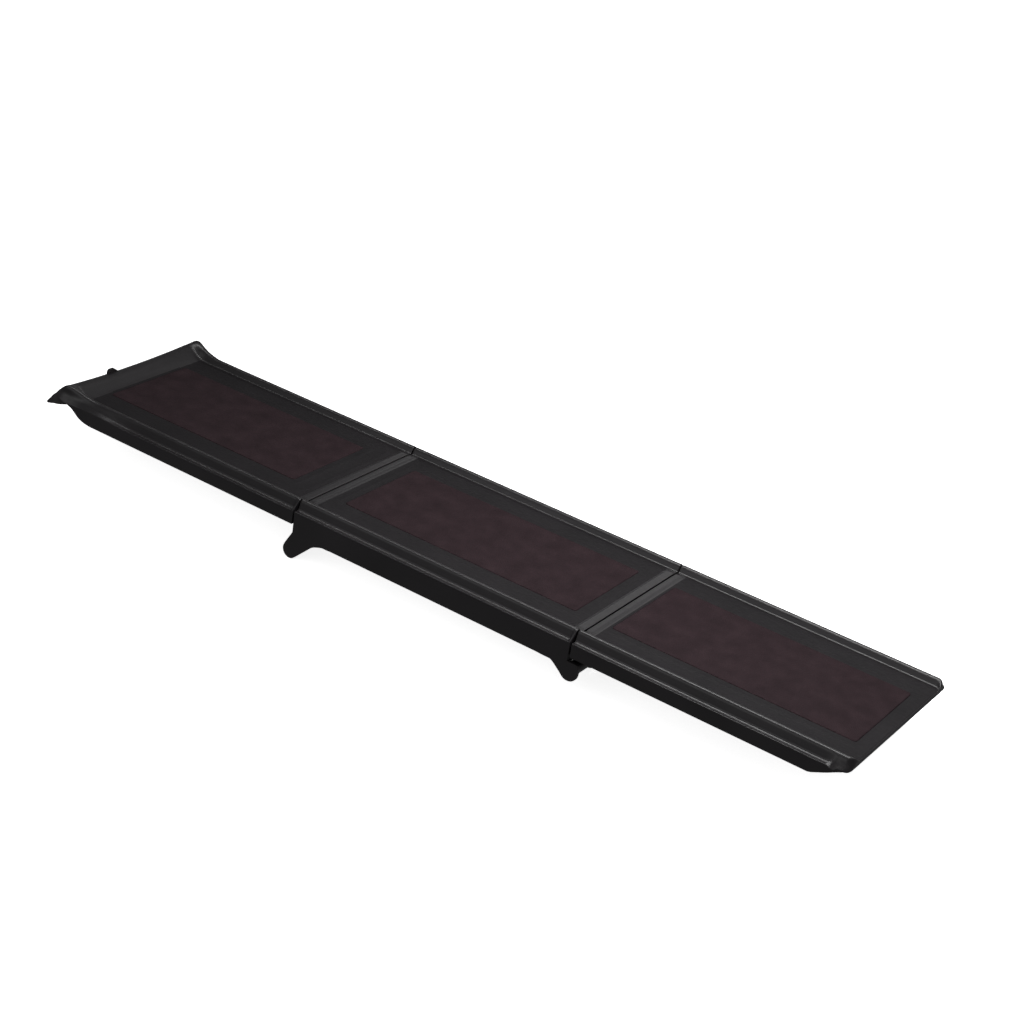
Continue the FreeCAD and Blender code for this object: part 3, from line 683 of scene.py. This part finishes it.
def lip_cutters():
    """The hollows between the gussets under the lip, and the seat of the grip strip."""
    tip = HOOK_TIP
    hollow = [(tip + 60, DECK - 9), (tip + 12, DECK - 24), (tip + 12, DECK - 13), (tip + 27, DECK + 3),
              (tip + 43, DECK + 10), (tip + 60, DECK + 4)]
    for low, high in ((-178, -KEEL_Y - RIB), (-KEEL_Y, KEEL_Y), (KEEL_Y + RIB, 178)):
        yield prism(soft_outline(hollow, [0.2, 0.2, 1.5, 3, 4, 3], 4), low, high, "y")
    grip_low, grip_high = cad_box("hook_grip")
    fall = 18.5 / 54
    line = [(x, DECK - 6 - (tip + 62 - x) * fall) for x in (grip_low.x, grip_high.x)]
    seat = [(x, z - 4) for x, z in line] + [(x, z + 3) for x, z in reversed(line)]
    yield prism(seat, grip_low.y - 0.5, grip_high.y + 0.5, "y")


def lower_section(x):
    """The lower panel's cross section: it thins to the nose, and its rails round off at the end."""
    left = GROUND_END - x
    section = Section(glide(x - LOWER_SEAM, [(NOSE_START, -SKIRT_SHORT), (NOSE_END, NOSE_RISE)]))
    notch_start, notch_full, notch_back, notch_end = END_NOTCH
    notch = smooth(notch_start, notch_full, left) * smooth(notch_end, notch_back, left)
    section.wall -= END_WALL_IN * smooth(notch_start, 15, left)
    section.groove = 1 - smooth(43, 29, left)
    fall = CREST_RISE - END_CREST_RISE
    section.crest = CREST_RISE - fall * quarter_drop(left, END_CREST_RUN)
    section.side_shift = NOSE_CORNER * quarter_drop(left, NOSE_CORNER)
    drop = quarter_drop(left, END_DROP)
    section.deck = -END_DIP * drop
    section.ledge = min(section.ledge - END_NOTCH_DEPTH * notch, section.crest - 2)
    section.bottom = min(section.bottom + 2 * drop, section.ledge - 1.6)
    return section


def quarter_drop(left, run):
    """How far a quarter round has dropped, from 0 at run before the end to 1 at the end."""
    return 1 - math.sqrt(1 - max(0.0, 1 - left / run) ** 2)


def lower_relief(x, y, mat):
    """The relief of the lower panel's deck."""
    flat = beyond_strip(x - LOWER_SEAM) * smooth(6, 10, GROUND_END - x)
    return ridge_relief(x, y, mat) * flat + strip_relief(x, y, LOWER_SEAM, 1)


def build_lower():
    """The lower panel, with its bevelled nose and hinge barrels."""
    start, end = LOWER_START, GROUND_END
    mat = mat_edges("lower_tread_mat")
    fine = [(start, mat[0]), (mat[1] - 4, end)]
    places = eased(fine_places(start, end, fine), True, False)
    body = panel_solid("lower_panel_shell", places, lower_section, lambda x, y: lower_relief(x, y, mat))
    cut(body, nose_hollow())
    for cutter in rib_cutters(SKIRT_SHORT, start + END_WALL, LOWER_SEAM + NOSE_START - 2):
        cut(body, cutter)
    cut(body, mat_recess(mat))
    hang_barrels(body, True)
    finish_mesh(body)
    return body


def nose_hollow():
    """The hollow inside the nose, between the two foot pads."""
    outline = box_outline(LOWER_SEAM + NOSE_START + 1, GROUND_END - 18, -90, 90)
    return prism(soft_outline(outline, 3), DECK - 60, DECK - MAT_SUNK - SKIN, "z")


# ---------------------------------------------------------------- mats


MAT_ROLL = 1.8
MAT_STEP = 2.2
MAT_SHARP_ANGLE = 50
PEBBLE_RISE = 0.35
PEBBLE_SIZE = 4.2


def rounded_place(x, y, half_x, half_y, corner):
    """Move a point of a sharp-cornered rectangle to where it lies in one with rounded corners."""
    over_x = (abs(x) - half_x + corner) / corner
    over_y = (abs(y) - half_y + corner) / corner
    if over_x <= 0 or over_y <= 0:
        return x, y
    new_x = half_x - corner + corner * over_x * math.sqrt(1 - over_y**2 / 2)
    new_y = half_y - corner + corner * over_y * math.sqrt(1 - over_x**2 / 2)
    return math.copysign(new_x, x), math.copysign(new_y, y)


def mat_rise(x, y, half_x, half_y, thick):
    """Height of a mat's top: rolled down at the edge and pebbled elsewhere."""
    inside = min(half_x - abs(x), half_y - abs(y))
    edge = 1 - min(inside, MAT_ROLL) / MAT_ROLL
    rise = thick - MAT_ROLL * (1 - math.sqrt(1 - edge * edge))
    spot = Vector((x, y, 0)) / PEBBLE_SIZE
    pebble = noise.noise(spot) + 0.5 * noise.noise(spot * 2.1)
    return rise - PEBBLE_RISE * smooth(MAT_ROLL, MAT_ROLL * 3, inside) * (0.5 - 0.5 * pebble)


def build_mat(name, node):
    """A tread mat with a rolled edge and a pebbled top."""
    low, high = cad_box(node)
    centre = (low + high) / 2
    half_x, half_y, thick = (high.x - low.x) / 2, (high.y - low.y) / 2, high.z - low.z
    xs, ys = mat_places(half_x), mat_places(half_y)
    points = []
    for x in xs:
        for y in ys:
            near_x, near_y = rounded_place(x, y, half_x, half_y, MAT_CORNER - 1)
            rise = mat_rise(x, y, half_x, half_y, thick)
            points.append((centre.x + near_x, centre.y + near_y, low.z + rise))
    faces = grid_faces(len(xs), len(ys))
    rim = grid_rim(len(xs), len(ys))
    base, count = len(points), len(rim)
    points += [(points[i][0], points[i][1], low.z) for i in rim]
    faces += [(rim[i], rim[(i + 1) % count], base + (i + 1) % count, base + i) for i in range(count)]
    faces.append(tuple(range(base, base + count)))
    item = mesh_object(name, points, faces)
    item.data.shade_smooth()
    item.data.set_sharp_from_angle(angle=math.radians(MAT_SHARP_ANGLE))
    return item


def mat_places(half):
    """Places across a mat, close together where its edge rolls down."""
    ends = [half - MAT_ROLL * (1 - math.cos(a)) for a in (0, 0.4, 0.8, 1.2, 1.57)]
    inner = half - MAT_STEP * 2
    return sorted([-e for e in ends] + ends + spread(-inner, inner, MAT_STEP))


def grid_faces(rows, wide):
    """The faces of a grid of points, row by row."""
    return [(i * wide + j, (i + 1) * wide + j, (i + 1) * wide + j + 1, i * wide + j + 1)
            for i in range(rows - 1) for j in range(wide - 1)]


def grid_rim(rows, wide):
    """The grid's outer points, in order round it."""
    last = (rows - 1) * wide
    return (list(range(wide)) + [i * wide + wide - 1 for i in range(1, rows)]
            + list(range(last + wide - 2, last - 1, -1)) + [i * wide for i in range(rows - 2, 0, -1)])


# ---------------------------------------------------------------- materials


class Paint:
    """Builds one procedural material from small steps."""

    def __init__(self, name):
        self.material = bpy.data.materials.new(name)
        self.material.use_nodes = True
        self.nodes = self.material.node_tree.nodes
        self.links = self.material.node_tree.links
        self.shader = self.nodes["Principled BSDF"]
        self.place = self.nodes.new("ShaderNodeTexCoord").outputs["Object"]

    def node(self, kind, inputs=(), **settings):
        """A new node with its inputs set or linked."""
        item = self.nodes.new(kind)
        for key, value in settings.items():
            setattr(item, key, value)
        for key, value in dict(inputs).items():
            if isinstance(value, bpy.types.NodeSocket):
                self.links.new(value, item.inputs[key])
            else:
                item.inputs[key].default_value = value
        return item

    def stretched(self, scale):
        """Object coordinates stretched along the axes."""
        return self.node("ShaderNodeMapping", {"Vector": self.place, "Scale": scale}).outputs["Vector"]

    def speckle(self, scale, detail=3.0, place=None):
        """Soft noise."""
        inputs = {"Vector": place or self.place, "Scale": scale, "Detail": detail}
        return self.node("ShaderNodeTexNoise", inputs).outputs["Fac"]

    def cells(self, scale):
        """The distance to the nearest of many scattered points."""
        inputs = {"Vector": self.place, "Scale": scale}
        return self.node("ShaderNodeTexVoronoi", inputs).outputs["Distance"]

    def between(self, factor, low, high):
        """A number from low to high, following the middle of a noise's range."""
        inputs = {"Value": factor, "From Min": 0.3, "From Max": 0.7, "To Min": low, "To Max": high}
        return self.node("ShaderNodeMapRange", inputs).outputs["Result"]

    def colours(self, factor, stops):
        """A colour that follows a factor through (place, colour) stops."""
        ramp = self.node("ShaderNodeValToRGB", {"Fac": factor})
        ramp.color_ramp.elements[0].position = stops[0][0]
        ramp.color_ramp.elements[0].color = (*stops[0][1], 1)
        ramp.color_ramp.elements[1].position = stops[-1][0]
        ramp.color_ramp.elements[1].color = (*stops[-1][1], 1)
        for place, colour in stops[1:-1]:
            ramp.color_ramp.elements.new(place).color = (*colour, 1)
        return ramp.outputs["Color"]

    def bump(self, height, distance, strength, under=None):
        """A bumped normal, over another one if it is given."""
        inputs = {"Height": height, "Distance": distance, "Strength": strength}
        if under is not None:
            inputs["Normal"] = under
        return self.node("ShaderNodeBump", inputs).outputs["Normal"]

    def set(self, **sockets):
        """Set or link the shader's own sockets."""
        for key, value in sockets.items():
            socket = self.shader.inputs[key.replace("_", " ")]
            if isinstance(value, bpy.types.NodeSocket):
                self.links.new(value, socket)
            else:
                socket.default_value = value


def panel_plastic(name, smoothest, roughest, grain_depth, gloss):
    """Near-black moulded plastic: a fine spark-eroded grain, slight haze and faint scuffs."""
    paint = Paint(name)
    haze = paint.speckle(9, 4)
    grain = paint.speckle(1400, 2)
    scuffs = paint.speckle(60, 5, paint.stretched((1, 6, 6)))
    colour = paint.colours(haze, [(0.3, (0.0078, 0.0068, 0.0077)), (0.7, (0.0112, 0.0096, 0.0109))])
    roughness = paint.between(scuffs, smoothest, roughest)
    paint.set(Base_Color=colour, Roughness=roughness, Specular_IOR_Level=gloss,
              Normal=paint.bump(grain, grain_depth, 0.6))
    return paint.material


def mat_rubber():
    """Dark maroon rubber with a fine pebbled surface and worn tops."""
    paint = Paint("tread_mat")
    blotches = paint.speckle(28, 6)
    fleck = paint.speckle(420, 3)
    pebbles = paint.cells(420)
    mix = paint.node("ShaderNodeMath", {0: blotches, 1: fleck}, operation="MULTIPLY_ADD")
    mix.inputs[2].default_value = 0.12
    colour = paint.colours(mix.outputs["Value"], [
        (0.20, (0.0125, 0.0064, 0.0080)), (0.38, (0.0190, 0.0102, 0.0126)), (0.6, (0.0290, 0.0165, 0.0195))])
    normal = paint.bump(pebbles, 0.0008, 0.8, paint.bump(fleck, 0.0004, 0.5))
    paint.set(Base_Color=colour, Roughness=paint.between(fleck, 0.7, 0.9), Specular_IOR_Level=0.1,
              Normal=normal)
    return paint.material


def grip_rubber():
    """Matt black rubber with a fine grain."""
    paint = Paint("grip_rubber")
    grain = paint.speckle(900, 3)
    bloom = paint.speckle(30, 5)
    colour = paint.colours(bloom, [(0.3, (0.011, 0.011, 0.0115)), (0.7, (0.022, 0.0215, 0.022))])
    paint.set(Base_Color=colour, Roughness=paint.between(bloom, 0.7, 0.86),
              Normal=paint.bump(grain, 0.0002, 0.7))
    return paint.material


def pin_steel():
    """Zinc-plated steel with fine turning marks along the pin."""
    paint = Paint("pin_steel")
    marks = paint.speckle(300, 3, paint.stretched((1, 0.04, 1)))
    spangle = paint.cells(160)
    colour = paint.colours(spangle, [(0.0, (0.48, 0.49, 0.5)), (0.6, (0.62, 0.62, 0.61))])
    paint.set(Base_Color=colour, Metallic=1.0, Roughness=paint.between(marks, 0.26, 0.46),
              Normal=paint.bump(marks, 0.0001, 0.4))
    return paint.material


def nylon():
    """Smooth dark nylon with a faint flow pattern."""
    paint = Paint("nylon")
    flow = paint.speckle(80, 4, paint.stretched((1, 3, 1)))
    colour = paint.colours(flow, [(0.3, (0.035, 0.035, 0.037)), (0.7, (0.06, 0.06, 0.063))])
    paint.set(Base_Color=colour, Roughness=paint.between(flow, 0.32, 0.45),
              Normal=paint.bump(flow, 0.00015, 0.3))
    return paint.material


# ---------------------------------------------------------------- the scene


CAMERA_TARGET = Vector((0.022, 0.116, 0.106))
CAMERA_AZIMUTH = 31.04
CAMERA_ELEVATION = 26.76
CAMERA_ROLL = 8.97
CAMERA_DISTANCE = 3.969
CAMERA_LENS = 73.31
DIFFUSE_SKY = 0.5
FLOOR_GLOW = 0.85
GLOSSY_SKY = 0.15


def make_camera():
    """A camera at the object's usual viewing angle, tilted about its own axis."""
    azimuth = math.radians(CAMERA_AZIMUTH)
    elevation = math.radians(CAMERA_ELEVATION)
    back = Vector((math.sin(azimuth) * math.cos(elevation), -math.cos(azimuth) * math.cos(elevation),
                   math.sin(elevation)))
    data = bpy.data.cameras.new("camera")
    data.lens = CAMERA_LENS
    data.sensor_width = 36
    data.clip_end = 100
    camera = bpy.data.objects.new("camera", data)
    bpy.context.scene.collection.objects.link(camera)
    turn = (-back).to_track_quat("-Z", "Y").to_matrix() @ Matrix.Rotation(math.radians(CAMERA_ROLL), 3, "Z")
    camera.matrix_world = Matrix.Translation(CAMERA_TARGET + back * CAMERA_DISTANCE) @ turn.to_4x4()
    bpy.context.scene.camera = camera


def area_light(name, place, size, power, target=(0, 0, 0.1), sheen_only=False):
    """A softbox aimed at the target; a sheen-only one shows in glossy surfaces and lights nothing else."""
    data = bpy.data.lights.new(name, "AREA")
    data.shape = "RECTANGLE"
    data.size = size[0]
    data.size_y = size[1]
    data.energy = power
    light = bpy.data.objects.new(name, data)
    bpy.context.scene.collection.objects.link(light)
    light.visible_diffuse = not sheen_only
    aim = (Vector(target) - Vector(place)).to_track_quat("-Z", "Y").to_matrix()
    light.matrix_world = Matrix.Translation(Vector(place)) @ aim.to_4x4()


def make_world():
    """Pale surroundings that show dimmer in gloss than they light the ramp."""
    world = bpy.data.worlds.new("studio")
    world.use_nodes = True
    nodes = world.node_tree.nodes
    links = world.node_tree.links
    rays = nodes.new("ShaderNodeLightPath")
    surroundings = nodes["Background"]
    surroundings.inputs["Strength"].default_value = DIFFUSE_SKY
    for ray, strength in (("Is Glossy Ray", GLOSSY_SKY), ("Is Camera Ray", 1.0)):
        other = nodes.new("ShaderNodeBackground")
        other.inputs["Color"].default_value = (1, 1, 1, 1)
        other.inputs["Strength"].default_value = strength
        both = nodes.new("ShaderNodeMixShader")
        links.new(rays.outputs[ray], both.inputs[0])
        links.new(surroundings.outputs[0], both.inputs[1])
        links.new(other.outputs[0], both.inputs[2])
        surroundings = both
    nodes["Background"].inputs["Color"].default_value = (1, 0.99, 1, 1)
    links.new(surroundings.outputs[0], nodes["World Output"].inputs["Surface"])
    bpy.context.scene.world = world


def make_floor():
    """The plain pale floor."""
    bpy.ops.mesh.primitive_plane_add(size=60)
    floor = bpy.context.object
    floor.name = "floor"
    floor.visible_glossy = False
    floor.visible_diffuse = False
    paint = Paint("floor")
    tone = paint.speckle(2, 2)
    colour = paint.colours(tone, [(0.3, (0.93, 0.93, 0.925)), (0.7, (0.95, 0.95, 0.945))])
    paint.set(Base_Color=colour, Roughness=0.9, Emission_Color=(1, 1, 1, 1), Emission_Strength=FLOOR_GLOW)
    floor.data.materials.append(paint.material)
    floor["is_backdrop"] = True


def make_lights():
    """The key above the lower panels, a front softbox, and three whose sheen shows the rails and edges."""
    area_light("key", (0.45, 0.05, 1.35), (1.3, 0.5), 21, (0.45, 0, 0.1))
    area_light("front", (-0.6, -2.6, 1.5), (3.0, 0.8), 10, (0.2, 0, 0.1))
    area_light("rail_strip", (-1.04, -0.05, 2.0), (1.48, 0.3), 13, (-1.04, -0.05, 0), sheen_only=True)
    area_light("back", (-0.9, 3.0, 1.75), (2.4, 0.9), 8, sheen_only=True)
    area_light("end_strip", (1.3, 2.4, 2.0), (1.2, 0.5), 14, (0.9, 0, 0.1), sheen_only=True)
    bpy.context.scene.view_settings.view_transform = "Standard"


# ---------------------------------------------------------------- assembly


def dress(item, material, body, slot, *nodes):
    """Give a new piece its material, its body and the CAD nodes that it stands for; the slot argument is not
    used.
    """
    item.data.materials.clear()
    item.data.materials.append(material)
    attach(item, body)
    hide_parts(*nodes)


def grain_deck(shell, material):
    """Give a panel's flat deck, between its rails and cross strips, the grained finish."""
    shell.data.materials.append(material)
    for face in shell.data.polygons:
        x, y, z = face.center / MM
        near_seam = min(abs(x - UPPER_SEAM), abs(x - LOWER_SEAM)) < STRIP_END
        if face.normal.z > 0.9 and abs(y) < RAIL_FOOT - 2 and abs(z - DECK) < 1.2 and not near_seam:
            face.material_index = 1


def repaint(nodes, material):
    """Give CAD nodes a better material."""
    for node in nodes:
        for slot in frame["nodes"][node].material_slots:
            slot.material = material


def main():
    """Build every piece, and the studio round them."""
    plastic = panel_plastic("panel_plastic", 0.3, 0.42, 0.00005, 0.42)
    grained = panel_plastic("panel_plastic_grained", 0.5, 0.65, 0.0002, 0.12)
    rubber = mat_rubber()
    grip = grip_rubber()
    steel = pin_steel()
    smooth_nylon = nylon()
    for name, build in (("upper", build_upper), ("middle", build_middle), ("lower", build_lower)):
        shell = build()
        dress(shell, plastic, name, "panel_plastic", f"{name}_panel")
        grain_deck(shell, grained)
        dress(build_mat(f"{name}_mat", f"{name}_tread_mat"), rubber, name, "tread_mat", f"{name}_tread_mat")
    hinges = [f"{name}_hinge" for name in ("upper", "lower")]
    sides = ("left", "right")
    repaint([f"{hinge}_pin_{side}" for hinge in hinges for side in sides] + ["tether_anchor_screws"], steel)
    repaint([f"{hinge}_bush_{side}" for hinge in hinges for side in sides], smooth_nylon)
    repaint([f"{name}_pin_cap_{side}" for name in ("upper", "lower") for side in sides], smooth_nylon)
    repaint([f"{name}_mat_studs" for name in ("upper", "middle", "lower")], smooth_nylon)
    repaint(["hook_grip", "ground_foot_left", "ground_foot_right"], grip)
    repaint(["tether_anchor"], plastic)
    make_world()
    make_floor()
    make_lights()
    make_camera()


main()
VISUAL_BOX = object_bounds()
boxes = {"cad": CAD_BOX, "visual": VISUAL_BOX}
{name: [list(corner) for corner in box] for name, box in boxes.items()}
